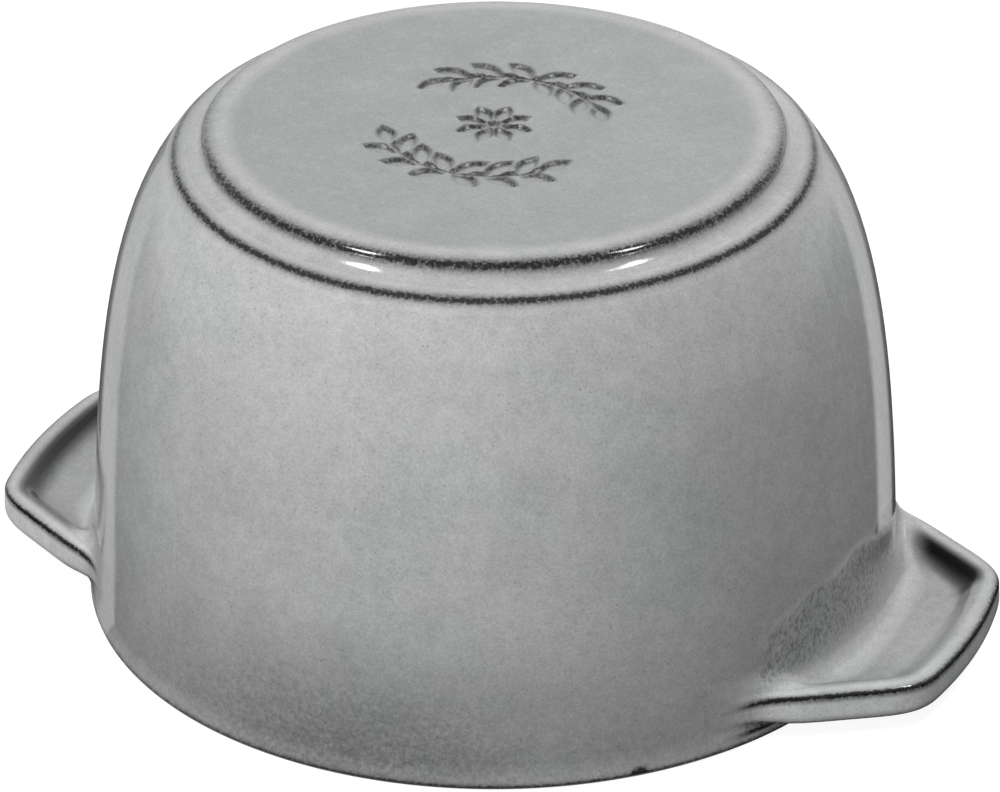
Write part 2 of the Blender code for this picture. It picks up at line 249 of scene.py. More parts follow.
handleShape = {
    "tipRadius": potHigh.x,
    "rootWidth": 0.0692,
    "tipWidth": 0.0386,
    "corner": 0.0040,
    "rootBlend": 0.0050,
    "drop": 0.0026,
    "top": 0.0081,
    "fillet": 0.0040,
    "underFillet": 0.0012,
    "border": 0.0033,
    "pocketDepth": 0.0028,
    "pocketRun": 0.0034,
    "edge": 0.0007,
    "underEdge": 0.0016,
    "leastSlant": 0.6,              # a border is widened no further along a slanting side
    "leastShares": (0.35, 0.55, 0.9),           # of the reach, inside the pocket's wall, border and edge
    "filletShare": 0.6,             # of what is left inside the pocket's wall
    "rootPale": (0.85, 0.006),      # painted light all over where the reach is too short for a pocket
    "filletPale": (0.0, 0.3, 0.6, 0.5),         # pale painted light and thin glaze, row by row from the wall outwards
    "borderPale": (0.6, 1.0, 1.0, 0.8),
    "borderThin": 0.25,
    "rimPale": 0.5,
    "rimThin": (0.9, 1.9, 0.9),
    "sidePale": 0.8,
    "underPale": 0.6,
    # painted shade on the rounding under the edge, under the handle and in the hollow at the wall
    "underShade": (0.3, 1.0, 1.0),
    "faceShade": 1.0,
    "hollowShade": 1.5,
    "glazeBlend": (2.0, 1.5),       # how soon thin glaze, painted shade and pale painted light come in at the root
    "shadeRun": (-0.0018, 0.0002, 0.0012, 0.0038),  # painted shade in a pocket, from its upper edge inwards
    "shadeSpread": (0.35, 1.5),     # its width along a side, at the wall and how much more at the tip
    "shadeTurn": math.radians(22.7),            # most on the walls that face this way, from the front
    "shadeFaint": 0.6,              # and this much fainter on the others
    "shadeSharp": 1.25,
    "shadeCorner": 0.0020,
    "shadeStart": 0.4,              # share of the fillet that stays clear
}

ornament = {
    "depth": 0.00055,
    "edge": 0.00060,                # width of the sloping side of a groove
    "radius": 0.0172,               # of the two sprigs
    "span": math.radians(50),       # half of a sprig
    "stem": 0.0005,                 # half width
    "leafLength": 0.0030,           # half length
    "leafWidth": 0.0013,            # half width
    "leafTilt": math.radians(40),
    "leafSpread": 0.9,              # the leaves stand off the stem by this share of their tilted length
    "leafPairs": 3,
    "firstPair": 0.55,              # its place, in steps from one pair to the next
    "tipTurn": math.radians(6),     # the last leaf's place past the end of a sprig
    "petals": 8,
    "petalRadius": 0.0038,          # middle of a petal
    "petalLength": 0.0024,
    "petalWidth": 0.0012,
    "dot": 0.0009,
    "skin": 0.0001,                 # only points this close to the flat are engraved
    "probe": 0.0002,                # distance over which the fall of a groove's side is taken
    "edgeGlaze": 1.12,              # the glaze is thin on the edges of the grooves, darkened further by painted shade
    "grooveShadeTurn": math.radians(22.7),            # the painted shade is most on those that fall this way, from the front
    "grooveShadeSharp": 0.75,
    "glazeReach": 1.4,              # in widths of a groove's side
    "edgeShine": 0.5,               # and a painted highlight on those across from them
    "shineStart": 0.2,
    "shineReach": 0.8,
}


def bellyCurve(shape):
    start = Vector((shape["shoulderRadius"], shape["shoulderHeight"]))
    end = Vector((shape["rimRadius"] - shape["lipFlare"], shape["lipHeight"]))
    slope = Vector((math.cos(shape["shoulderSlope"]), -math.sin(shape["shoulderSlope"])))
    lean = Vector((-math.sin(shape["wallLean"]), math.cos(shape["wallLean"])))
    return start, start + shape["shoulderPull"] * slope, end + shape["wallPull"] * lean, end


belly = bellyCurve(potShape)
bellyPlaces = np.linspace(1.0, 0.0, 301)  # from the lip up to the shoulder
bellyLine = np.array([curvePoint(belly, place) for place in bellyPlaces])


def bellyPlace(height):
    return float(np.interp(height, bellyLine[:, 1], bellyPlaces))


def wallRadius(height):
    if height < potShape["lipHeight"]:
        flare = (potShape["lipHeight"] - height) / (potShape["lipHeight"] - potShape["lipRounding"])
        return potShape["rimRadius"] + potShape["lipFlare"] * (flare * flare - 1.0)
    return float(np.interp(height, bellyLine[:, 1], bellyLine[:, 0]))


def handleSide(shape):  # a side of the handle is a straight line: its slant, its distance from the axis
    rootRadius = wallRadius(shape["top"])
    rootHalf = 0.5 * shape["rootWidth"]
    tipHalf = 0.5 * shape["tipWidth"]
    root = Vector((math.sqrt(rootRadius ** 2 - rootHalf ** 2), rootHalf))
    tip = Vector((math.sqrt(shape["tipRadius"] ** 2 - tipHalf ** 2), tipHalf))
    slant = math.atan2(root.y - tip.y, tip.x - root.x)
    return rootRadius, slant, root.x * math.sin(slant) + root.y * math.cos(slant)


rootRadius, sideSlant, sideDistance = handleSide(handleShape)
handleZone = handleShape["top"] + handleShape["fillet"] + handleShape["edge"]


def handleReach(angle):  # how far the handle stands out from the wall
    side = sideDistance / math.sin(min(sideSlant + angle, 0.5 * math.pi))
    outline = smoothMin(side, handleShape["tipRadius"], handleShape["corner"])
    return smoothMax(outline - rootRadius, 0.0, handleShape["rootBlend"])


def pocketShare(angle, reach, out):  # 0 on the border, 1 on the floor of the pocket
    toSide = sideDistance - (rootRadius + out) * math.sin(sideSlant + angle)
    toEdge = min(toSide, reach - out)
    return smoothStep((toEdge - handleShape["border"]) / handleShape["pocketRun"])


def pocketedFace(angle, reach, out):
    fillet = handleShape["fillet"]
    height = handleShape["top"] - handleShape["pocketDepth"] * pocketShare(angle, reach, out)
    return height + fillet - math.sqrt(fillet ** 2 - max(fillet - out, 0.0) ** 2)


def faceOuts(shape, angle, reach):  # rows over a handle: fillet, pocket floor, pocket wall, border
    floorShare, wallShare, borderShare = shape["leastShares"]
    across = max(math.sin(sideSlant + angle), shape["leastSlant"])
    floorEnd = max(reach - (shape["border"] + shape["pocketRun"]) / across, floorShare * reach)
    wallEnd = max(reach - shape["border"] / across, wallShare * reach)
    borderEnd = max(reach - shape["edge"], borderShare * reach)
    filletEnd = min(shape["fillet"], shape["filletShare"] * floorEnd)
    outs = [filletEnd * (1.0 - math.cos(math.radians(a))) for a in (0, 35, 65, 90)]
    outs += between(filletEnd, floorEnd, 2)
    outs += between(floorEnd, wallEnd, 4)
    return outs + between(wallEnd, borderEnd, 3)


def facePales(shape, reach, count):
    share, short = shape["rootPale"]
    rootPale = share * (1.0 - smoothStep(reach / short - 1.0))
    first, last = list(shape["filletPale"]), list(shape["borderPale"])
    return first + [rootPale] * (count - len(first) - len(last)) + last


def handleProfile(angle):
    # the section through a handle, from the wall over it, out, round the edge and back under
    shape = handleShape
    reach = handleReach(angle)
    outs = faceOuts(shape, angle, reach)
    thins = [0.0] * (len(outs) - 1) + [shape["borderThin"]]
    rows = []
    # each row's pale value is painted light on the handle
    for out, thin, pale in zip(outs, thins, facePales(shape, reach, len(outs))):
        rows.append((rootRadius + out, pocketedFace(angle, reach, out), thin, pale))
    edge = rootRadius + reach
    rim = arcPoints((edge - shape["edge"], shape["top"] - shape["edge"]), shape["edge"], 55, 0, 3)
    rows += [(r, h, thin, shape["rimPale"]) for (r, h), thin in zip(rim, shape["rimThin"])]
    underTop = shape["drop"] + shape["underEdge"]
    side = between(shape["top"] - shape["edge"], underTop, 3)
    rows += [(edge, h, 0.0, shape["sidePale"]) for h in side]
    # under the edge and under the handle the thin value is painted shade
    under = arcPoints((edge - shape["underEdge"], underTop), shape["underEdge"], -30, -90, 3)
    rows += [(r, h, thin, shape["underPale"]) for (r, h), thin in zip(under, shape["underShade"])]
    inner = rootRadius + shape["underFillet"]
    face = between(edge - shape["underEdge"], inner, 3)
    rows += [(r, shape["drop"], shape["faceShade"], 0.0) for r in face]
    hollow = arcPoints((inner, shape["drop"] - shape["underFillet"]), shape["underFillet"], 120, 180, 3)
    rows += [(r, h, shape["hollowShade"], 0.0) for r, h in hollow]
    return blendToWall(rows, smoothStep(reach / shape["rootBlend"]))


def blendToWall(rows, share):  # away from the handle the same rows lie on the bare wall
    low = handleShape["drop"] - handleShape["underFillet"]
    thinSpeed, paleSpeed = handleShape["glazeBlend"]
    blended = []
    for i, (radius, height, thin, pale) in enumerate(rows):
        bare = handleZone + (low - handleZone) * (i + 1) / len(rows)
        height = bare + (height - bare) * share
        out = max(radius - rootRadius, 0.0) * share
        thin *= smoothStep(thinSpeed * share)
        pale *= min(paleSpeed * share, 1.0)
        blended.append((wallRadius(height) + out, height, thin, pale))
    return blended


def discRows(shape):  # from the middle of the base out to the edge of the shoulder
    top = shape["height"]
    flat = shape["flatRadius"]
    radii = [shape["pinhole"]] + between(shape["pinhole"], shape["fineRadius"], 36)
    radii += between(shape["fineRadius"], flat, 5)
    rows = [(r, top) for r in radii]
    edge = shape["footRadius"]
    rounding = shape["footEdge"]
    rows += [(flat + (edge - flat) * out, top - shape["flatFall"] * down) for out, down in shape["flatWay"]]
    rows += arcPoints((edge - rounding, top - shape["flatFall"] - rounding), rounding, 80, 5, 7)
    fillet = shape["footFillet"]
    hollow = shape["shoulderHeight"] + shape["shoulderFall"]
    rows += arcPoints((edge + fillet + shape["footLean"], hollow + fillet), fillet, 180, 250, 5)
    radius, height = rows[-1]
    run = shape["shoulderRadius"] - radius
    fall = shape["shoulderHeight"] - height
    return rows + [(radius + run * out, height + fall * down) for out, down in shape["shoulderWay"]]


def bellyRows(shape):
    fineStart = bellyPlace(shape["fineWall"])
    places = list(shape["shoulderRows"])
    places += between(places[-1], fineStart, shape["coarseRows"])
    places += between(fineStart, bellyPlace(handleZone), shape["fineRows"])
    return [tuple(curvePoint(belly, place)) for place in places]


def rimRows(shape):  # from the lip's edge over the land, up the recess and round the ledge
    rounding = shape["lipRounding"]
    edge = shape["rimRadius"]
    depth = shape["recessDepth"]
    recess = edge - rounding - shape["rimLand"]
    mouth = recess - shape["ledgeWidth"]
    ledgeTop = depth + shape["ledgeThickness"]
    wide = shape["landEdge"]
    narrow = 0.25 * wide
    rows = [(wallRadius(h), h) for h in shape["lipRows"]]
    rows += arcPoints((edge - rounding, rounding), rounding, 0, -90, 4)
    rows += [(r, 0.0) for r in between(edge - rounding, recess + wide, 2)]
    rows += [(recess + narrow, narrow), (recess, wide + narrow)]
    rows += [(recess, h) for h in between(wide + narrow, depth - wide, 3)]
    rows += [(recess - narrow, depth - narrow)]
    rows += [(r, depth) for r in between(recess - wide, mouth + wide, 3)]
    rows += [(mouth, depth + wide - narrow), (mouth, ledgeTop - shape["ledgeEdge"])]
    return rows + [(mouth + 0.5 * wide, ledgeTop)]


def insideRows(shape):  # from the ledge up the inside of the wall to the middle of the floor
    ledgeTop = shape["recessDepth"] + shape["ledgeThickness"]
    step = 0.01  # along the wall's curve, for its direction
    rows = []
    for place in between(bellyPlace(ledgeTop + shape["ledgeBlend"]), 0.0, 10):
        ahead = curvePoint(belly, min(place + step, 1.0)) - curvePoint(belly, max(place - step, 0.0))
        inward = Vector((ahead.y, -ahead.x)).normalized()
        rows.append(tuple(curvePoint(belly, place) + shape["wall"] * inward))
    radius, height = rows[-1]
    floor = shape["floorHeight"]
    corner = Vector((radius - (floor - height) / math.tan(shape["shoulderSlope"]), floor))
    floorEdge = corner - Vector((shape["floorCorner"], 0.0))
    rows += [tuple(curvePoint((Vector((radius, height)), corner, floorEdge), t)) for t in between(0, 1, 4)]
    return rows + [(r, floor) for r in between(floorEdge.x, shape["pinhole"], 5)]


def leafInside(place, middle, direction, length, width):  # distance into a pointed oval, below 0 outside
    offset = place - middle
    along = offset.dot(direction) / length
    across = abs(offset.cross(direction))
    return width * (1.0 - along * along) - across


def ornamentLeaves(values):  # middle, direction, half length and half width of every leaf
    leaves = []
    petal = (values["petalLength"], values["petalWidth"])
    leaf = (values["leafLength"], values["leafWidth"])
    for i in range(values["petals"]):
        turn = math.tau * i / values["petals"]
        direction = Vector((math.cos(turn), math.sin(turn)))
        leaves.append((values["petalRadius"] * direction, direction, *petal))
    alongTilt = math.cos(values["leafTilt"])
    acrossTilt = math.sin(values["leafTilt"])
    sideways = values["leafSpread"] * values["leafLength"] * acrossTilt + values["stem"]
    for facing in (0.5 * math.pi, -0.5 * math.pi):
        for turning in (1.0, -1.0):
            for i in range(values["leafPairs"]):
                turn = facing + turning * values["span"] * (i + values["firstPair"]) / values["leafPairs"]
                growth = Vector((-math.sin(turn), math.cos(turn))) * turning
                outward = Vector((math.cos(turn), math.sin(turn)))
                for side in (1.0, -1.0):
                    direction = alongTilt * growth + side * acrossTilt * outward
                    leaves.append(((values["radius"] + side * sideways) * outward, direction, *leaf))
            turn = facing + turning * (values["span"] + values["tipTurn"])
            growth = Vector((-math.sin(turn), math.cos(turn))) * turning
            leaves.append((values["radius"] * Vector((math.cos(turn), math.sin(turn))), growth, *leaf))
    return leaves


def ornamentInside(place, leaves, values):
    inside = max(leafInside(place, *leaf) for leaf in leaves)
    fromFacing = abs(abs(math.atan2(place.y, place.x)) - 0.5 * math.pi)
    if fromFacing < values["span"]:
        inside = max(inside, values["stem"] - abs(place.length - values["radius"]))
    return max(inside, values["dot"] - place.length)


def engraveOrnament(piece, shape, values):
    leaves = ornamentLeaves(values)
    thinGlazeAndShade = painted(piece, "thinGlazeAndShade")
    paleGlazeAndLight = painted(piece, "paleGlazeAndLight")
    flat = shape["height"] - values["skin"]
    reach = values["radius"] + 2.0 * values["leafLength"]
    probe = values["probe"] * Vector((math.sin(values["grooveShadeTurn"]), -math.cos(values["grooveShadeTurn"])))
    for vertex in piece.data.vertices:
        place = Vector((vertex.co.x, vertex.co.y))
        if vertex.co.z < flat or place.length > reach:
            continue
        inside = ornamentInside(place, leaves, values)
        fromEdge = abs(inside) / values["edge"]
        vertex.co.z -= values["depth"] * smoothStep(0.5 + inside / values["edge"])
        # sides that fall towards the front get painted shade on top of the thin glaze, and those across get
        # a painted highlight
        downhill = (ornamentInside(place + probe, leaves, values) - inside) / probe.length
        thin = values["edgeGlaze"] * smoothStep(0.5 + values["grooveShadeSharp"] * downhill)
        thinGlazeAndShade[vertex.index] = thin * smoothStep(1.0 - fromEdge / values["glazeReach"])
        pale = values["edgeShine"] * smoothStep(-values["shineStart"] - downhill)
        paleGlazeAndLight[vertex.index] = pale * smoothStep(1.0 - fromEdge / values["shineReach"])
    paint(piece, "thinGlazeAndShade", thinGlazeAndShade)
    paint(piece, "paleGlazeAndLight", paleGlazeAndLight)


def buildPot(shape):
    upper = discRows(shape) + bellyRows(shape)
    bareHandle = [row[:2] for row in handleProfile(0.5 * math.pi)]
    rows = upper + bareHandle + rimRows(shape) + insideRows(shape)
    firstHandle = len(upper)
    firstInside = firstHandle + len(bareHandle)
    crowdingStart, crowdingRun = shape["crowdingRun"]
    pot = spinProfile("potShell", rows, shape["columns"])
    coats = {"thinGlazeAndShade": [], "paleGlazeAndLight": [], "blackCoat": []}
    profiles = {}
    for vertex, row in zip(pot.data.vertices, takeRows(pot)):
        radius, height = rows[row]
        thin = pale = 0.0
        angle = math.atan2(vertex.co.y, vertex.co.x)
        crowding = 0.5 * shape["crowding"] * smoothStep((radius - crowdingStart) / crowdingRun)
        angle -= crowding * math.sin(2.0 * angle)
        if firstHandle <= row < firstInside:
            fromHandle = round(abs(math.remainder(angle, math.pi)), 5)
            if fromHandle not in profiles:
                profiles[fromHandle] = handleProfile(fromHandle)
            radius, height, thin, pale = profiles[fromHandle][row - firstHandle]
        vertex.co = (radius * math.cos(angle), radius * math.sin(angle), height)
        black = 1.0 if row >= firstInside + shape["greyRows"] else 0.0
        for coat, value in zip(coats.values(), (thin, pale, black)):
            coat.append(value)
    for name, values in coats.items():
        paint(pot, name, values)
    subdivide(pot)
    closeHoles(pot)
    engraveOrnament(pot, shape, ornament)
    paintZones(pot, shape, potGlazeAndShade)
    return pot


# Zones of the pot's glaze, and of its painted light and shade

potGlazeAndShade = {
    "footGlaze": (1.30, 0.00125, 0.00111),      # thin glaze on an edge: share, width inside, outside
    "shoulderGlaze": (1.40, 0.00085, 0.00075),
    "rimGlaze": (2.00, 0.0007, 0.0007),
    "glazeFall": 1.8,               # how sharply such a line ends
    "footMiddle": (0.3, 0.3),       # where it runs on the rounding, as shares inwards and down
    "rimMiddle": (0.1, 0.3),        # inwards and up
    "boldTurn": math.radians(22.7), # painted shade makes the lines of foot and shoulder boldest here, from the front
    "boldSpan": (math.radians(55), math.radians(100)),      # and get faint between these angles from there
    "boldLoss": 0.45,
    "dullShoulder": (0.0025, 0.0010),           # dull glaze along the shoulder's edge: reach, fading
    "dullRoot": (0.001, 0.008, 0.003),          # and where a handle ends: reach of its start, end, fading
    "flatEdge": 0.0414,             # the duller glaze of the flat ends here
    "flatBlend": 0.0016,
    "wallBlend": 0.0015,            # what is on the wall alone ends over this distance
    "rimTone": 0.034,               # painted shade darkens the wall over this height above the rim
    "rimToneTurn": math.radians(2.0),           # and most about here, from the front
    "rimToneWidth": math.radians(30),
    "rimToneShares": (0.27, 0.58),  # all round, and there besides
    "lipTone": (0.85, 0.0022, 0.0023),          # a little less at the lip: share, height, fading
    "poresHeight": 0.0225,          # pores in the glaze over a handle reach this high in its middle
    "poresFall": 0.0160,            # and this much lower towards its sides, by the angle squared
    "poresEnds": (math.radians(24.5), math.radians(30.5)),  # they end between these angles from the middle
    "poresWave": (0.0005, 31.0),    # unevenness of their upper limit: height, waves
    "poresLow": 0.0080,             # they start above this
    "poresBlend": (0.0012, 0.0030), # and fade over these heights, at the top and below
    "poresEdge": (0.24, 0.0008),    # a paler line along their upper limit: share, width
    "chipTurn": math.radians(-47.9),            # a chip in the glaze of the rim
    "chipHeight": 0.0003,
    "chipReach": 0.00208,
    "chipFade": 0.0013,
    "chipGlaze": 2.0,
}


def edgeGlaze(radius, height, line, values):  # how thin the glaze is near an edge that runs round the pot
    share, inside, outside = values
    away = math.hypot(radius - line[0], height - line[1])
    width = inside if radius < line[0] else outside
    return share * math.exp(-(away / width) ** potGlazeAndShade["glazeFall"])


# painted shade that makes the edge lines bolder towards the front
def boldness(glaze, fromFront):
    fromBold = abs(math.remainder(fromFront - glaze["boldTurn"], math.tau))
    first, last = glaze["boldSpan"]
    return 1.0 - glaze["boldLoss"] * smoothStep((fromBold - first) / (last - first))


def dullShare(glaze, toShoulder, height, fromHandle):
    if height < handleZone:
        start, end, fading = glaze["dullRoot"]
        reach = handleReach(fromHandle)
        return smoothStep(reach / start) * smoothStep((end - reach) / fading)
    reach, fading = glaze["dullShoulder"]
    return smoothStep((reach - toShoulder) / fading)


# painted shade, darker towards the bottom of the wall and most near the front
def rimShade(glaze, height, fromFront):
    allRound, besides = glaze["rimToneShares"]
    besides *= math.exp(-((fromFront - glaze["rimToneTurn"]) / glaze["rimToneWidth"]) ** 2)
    share, start, fading = glaze["lipTone"]
    lip = share + (1.0 - share) * smoothStep((height - start) / fading)
    return lip * (allRound + besides) * (1.0 - smoothStep(height / glaze["rimTone"]))


def poreShares(glaze, height, fromHandle, fromFront):  # of the pores, and of the pale line above them
    wave, waves = glaze["poresWave"]
    low = glaze["poresLow"]
    first, last = glaze["poresEnds"]
    within = 1.0 - smoothStep((fromHandle - first) / (last - first))
    top = glaze["poresHeight"] - glaze["poresFall"] * fromHandle ** 2 + wave * math.sin(waves * fromFront)
    top = low + (top - low) * within
    fadingTop, fadingLow = glaze["poresBlend"]
    overHandle = smoothStep((height - low) / fadingLow)
    share, width = glaze["poresEdge"]
    line = share * within * math.exp(-((height - top) / width) ** 2)
    return overHandle * smoothStep((top - height) / fadingTop), overHandle * line


def wallShade(place, turn):  # painted shade, full on a pocket's wall that faces the front, faint on one that faces away
    shape = handleShape
    ahead = math.copysign(math.sin(turn), place.y) * math.cos(shape["shadeTurn"])
    ahead -= math.copysign(math.cos(turn), place.x) * math.sin(shape["shadeTurn"])
    return 1.0 - shape["shadeFaint"] * smoothStep(0.5 - shape["shadeSharp"] * ahead)


def pocketShade(place):  # painted shade along the walls of a handle's pocket, fading over its floor
    shape = handleShape
    radius = math.hypot(place.x, place.y)
    if radius < rootRadius or place.z < shape["drop"] + shape["underEdge"]:
        return 0.0
    angle = abs(math.remainder(math.atan2(place.y, place.x), math.pi))
    toSide = sideDistance - radius * math.sin(sideSlant + angle)
    toTip = rootRadius + handleReach(angle) - radius
    sideShade = wallShade(place, 0.5 * math.pi - sideSlant)
    tipShade = wallShade(place, angle)
    corner = shape["shadeCorner"]
    lead = math.copysign(corner, sideShade - tipShade)  # the darker wall's shade goes past the corner
    onSide = smoothStep(0.5 + (toTip - toSide + lead) / corner)
    start, full, fading, end = shape["shadeRun"]
    atRoot, more = shape["shadeSpread"]
    along = (radius - rootRadius) / (shape["tipRadius"] - rootRadius - shape["border"])
    end *= 1.0 + onSide * (atRoot + more * along - 1.0)
    inward = min(toSide, toTip) - shape["border"]
    shade = smoothStep((inward - start) / (full - start))
    shade *= 1.0 - smoothStep((inward - fading) / (end - fading))
    shade *= smoothStep((radius - rootRadius) / shape["fillet"] - shape["shadeStart"])
    return shade * (tipShade + (sideShade - tipShade) * onSide)


def paintZones(piece, shape, glaze):  # zones of the glaze, and of painted light and shade, that follow the place on the pot
    thin = painted(piece, "thinGlazeAndShade")
    pale = painted(piece, "paleGlazeAndLight")
    zones = {"flatBase": [], "rimTone": [], "poreZone": [], "pocketShade": [], "dullEdge": []}
    inward, down = glaze["footMiddle"]
    discTop = shape["height"] - shape["flatFall"]
    footLine = (shape["footRadius"] - inward * shape["footEdge"], discTop - down * shape["footEdge"])
    inward, up = glaze["rimMiddle"]
    rimLine = (shape["rimRadius"] - inward * shape["lipRounding"], up * shape["lipRounding"])
    shoulderLine = (shape["shoulderRadius"], shape["shoulderHeight"])
    chip = shape["rimRadius"] * Vector((math.cos(glaze["chipTurn"]), math.sin(glaze["chipTurn"]), 0.0))
    chip.z = glaze["chipHeight"]
    for vertex in piece.data.vertices:
        radius = math.hypot(vertex.co.x, vertex.co.y)
        height = vertex.co.z
        fromHandle = abs(math.remainder(math.atan2(vertex.co.y, vertex.co.x), math.pi))
        fromFront = math.atan2(vertex.co.x, -vertex.co.y)
        toShoulder = math.hypot(radius - shoulderLine[0], height - shoulderLine[1])
        toChip = (vertex.co - chip).length
        bold = boldness(glaze, fromFront)
        onWall = smoothStep(1.0 + (shape["rimRadius"] - radius) / glaze["wallBlend"])
        pores, poreLine = poreShares(glaze, height, fromHandle, fromFront)
        # the foot and shoulder lines carry painted shade towards the front
        lines = [bold * edgeGlaze(radius, height, footLine, glaze["footGlaze"])]
        lines.append(bold * edgeGlaze(radius, height, shoulderLine, glaze["shoulderGlaze"]))
        lines.append(edgeGlaze(radius, height, rimLine, glaze["rimGlaze"]))
        lines.append(glaze["chipGlaze"] * smoothStep((glaze["chipReach"] - toChip) / glaze["chipFade"]))
        thin[vertex.index] = max(thin[vertex.index], *lines)
        pale[vertex.index] = max(pale[vertex.index], onWall * poreLine)
        zones["flatBase"].append(smoothStep(0.5 + (glaze["flatEdge"] - radius) / glaze["flatBlend"]))
        # painted shade, darker towards the bottom of the wall
        zones["rimTone"].append(onWall * rimShade(glaze, height, fromFront))
        zones["poreZone"].append(pores)
        # painted shade in the handles' pockets
        zones["pocketShade"].append(pocketShade(vertex.co))
        zones["dullEdge"].append(dullShare(glaze, toShoulder, height, fromHandle))
    paint(piece, "thinGlazeAndShade", thin)
    paint(piece, "paleGlazeAndLight", pale)
    for name, values in zones.items():
        paint(piece, name, values)


pot = buildPot(potShape)
print("pot modelled,", len(pot.data.polygons), "faces")


# Lid

lidShape = {
    "radius": lidHigh.x,
    "flangeTop": 0.0083,
    "lipDepth": 0.0040,
    "lipRadius": 0.0578,
    "lipWidth": 0.0040,
    "lipCorner": 0.0003,
    "domeRadius": 0.0542,
    "domeTop": 0.0155,
    "domeRise": 0.0060,
    "domeFoot": (0.00028, 0.00035), # last row of the dome, out from it and above the flange
    "wall": 0.0044,
    "edge": 0.0007,
    "smallEdge": 0.00021,
    "bossRadius": 0.0100,
    "bossTop": lidHigh.z,
    "bore": 0.0033,
    "boreEdge": 0.0003,
    "seatRadius": 0.0067,           # flat under the dome for the spring washer
    "columns": 128,
    "boreThin": 0.5,                # thin glaze on the edges
    "bossThin": 0.9,
    "domeThin": (0.9, 0.3),
    "flangeThin": (0.9, 1.0, 1.0),
    "dripRings": ((0.018, 6), (0.031, 12), (0.044, 18)),    # radius and count of the drip bumps
    "dripRadius": 0.0030,
    "dripHeight": 0.0009,
}


def domeHeight(radius):
    share = min(radius / lidShape["domeRadius"], 1.0)
    return lidShape["domeTop"] - lidShape["domeRise"] * share * share


def domeUnder(radius):
    return domeHeight(radius) - lidShape["wall"]


def coated(places, thin, black):  # rows of the half section with the coat they get
    return [(radius, height, thin, black) for radius, height in places]


def greyRows(shape):  # from the bore over the boss and the dome to the flange's edge
    bore, boreEdge = shape["bore"], shape["boreEdge"]
    edge, small = shape["edge"], shape["smallEdge"]
    boss, bossTop = shape["bossRadius"], shape["bossTop"]
    dome, flange = shape["domeRadius"], shape["flangeTop"]
    outer = shape["radius"]
    out, up = shape["domeFoot"]
    edgeThin, footThin = shape["domeThin"]
    rows = coated([(bore, bossTop - boreEdge), (bore + boreEdge, bossTop)], shape["boreThin"], 0.0)
    rows += coated([(r, bossTop) for r in between(bore, boss - edge, 3)], 0.0, 0.0)
    bossRounding = [(boss - small, bossTop - 0.5 * small), (boss, bossTop - 2.0 * small)]
    rows += coated(bossRounding, shape["bossThin"], 0.0)
    rows += coated([(r, domeHeight(r)) for r in between(boss, dome - edge, 26)], 0.0, 0.0)
    rows += coated([(dome, domeHeight(dome) - small)], edgeThin, 0.0)
    rows += coated([(dome + out, flange + up)], footThin, 0.0)
    rows += coated([(r, flange) for r in between(dome + edge, outer - edge, 4)], 0.0, 0.0)
    rounding = arcPoints((outer - edge, flange - edge), edge, 60, 0, 3)
    return rows + [(r, h, thin, 0.0) for (r, h), thin in zip(rounding, shape["flangeThin"])]


def blackRows(shape):  # from the flange's edge round the lip, under the dome and up the bore
    bore, boreEdge = shape["bore"], shape["boreEdge"]
    edge, small = shape["edge"], shape["smallEdge"]
    lip, depth = shape["lipRadius"], shape["lipDepth"]
    outer = shape["radius"]
    inner = lip - shape["lipWidth"]
    under = shape["domeTop"] - shape["wall"]
    rows = [(outer, h) for h in between(shape["flangeTop"] - edge, depth + edge, 2)]
    rows += [(outer - small, depth + small)]
    rows += [(r, depth) for r in between(outer, lip + shape["lipCorner"], 3)]
    rows += [(lip, h) for h in between(depth, edge, 3)]
    rows += arcPoints((lip - edge, edge), edge, -30, -90, 3)
    rows += [(inner + edge, 0.0), (inner + small, small)]
    rows += [(inner, h) for h in between(small, domeUnder(inner), 4)]
    rows += [(r, domeUnder(r)) for r in between(inner - edge, shape["bossRadius"], 34)]
    rows += [(shape["seatRadius"], under), (bore + boreEdge, under), (bore, under + boreEdge)]
    rows += [(bore, h) for h in between(under + boreEdge, shape["bossTop"] - boreEdge, 3)]
    return coated(rows, 0.0, 1.0)


def addDripBumps(piece, shape):  # the rows of bumps that drips fall from, on the black side
    spots = []
    for ring, count in shape["dripRings"]:
        turns = [math.tau * (i + 0.5) / count for i in range(count)]
        spots += [Vector((ring * math.cos(turn), ring * math.sin(turn))) for turn in turns]
    for vertex in piece.data.vertices:
        radius = math.hypot(vertex.co.x, vertex.co.y)
        if radius > shape["lipRadius"] - shape["lipWidth"] - shape["edge"] or radius < shape["bossRadius"]:
            continue
        if vertex.co.z > domeHeight(radius) - 0.5 * shape["wall"]:
            continue
        nearest = min((vertex.co.xy - spot).length for spot in spots)
        vertex.co.z -= shape["dripHeight"] * smoothStep(1.0 - nearest / shape["dripRadius"])


def buildLid(shape):
    rows = greyRows(shape) + blackRows(shape)
    lid = spinProfile("domedLid", [row[:2] for row in rows], shape["columns"])
    numbers = takeRows(lid)
    paint(lid, "thinGlazeAndShade", [rows[row][2] for row in numbers])
    paint(lid, "blackCoat", [rows[row][3] for row in numbers])
    subdivide(lid)
    addDripBumps(lid, shape)
    return lid


lid = buildLid(lidShape)
print("lid modelled,", len(lid.data.polygons), "faces")


# Knob and its fastening

